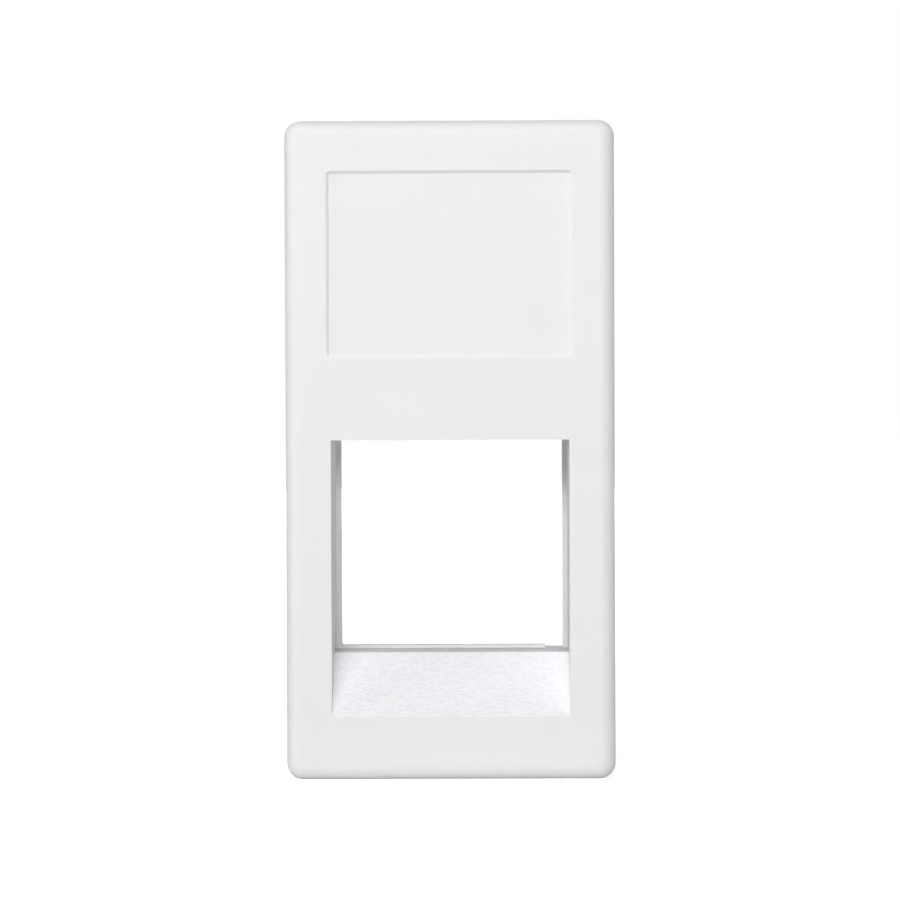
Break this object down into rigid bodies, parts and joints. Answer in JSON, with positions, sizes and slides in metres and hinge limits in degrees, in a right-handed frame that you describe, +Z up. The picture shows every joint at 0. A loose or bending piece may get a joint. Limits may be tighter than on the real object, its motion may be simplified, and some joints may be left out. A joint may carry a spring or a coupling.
{
  "type": "keystone faceplate",
  "caption": "One-piece snap-in faceplate that holds a keystone jack behind a square window with a sloping foot, under a shallow label field.",
  "frame": {"origin": "centre of the skirt's rear rim, the plane in which the plate seats on its frame", "axes": "+Z up with the label field at the top, +Y back through the window towards the wiring, so the plate faces -Y; +X to the right as seen from the front"},
  "size_m": [0.0224, 0.0127, 0.045],
  "materials": {
    "white_plastic": "fine spark-eroded texture"
  },
  "bodies": {
    "root": {"faceplate": "white_plastic"}
  },
  "joints": []
}
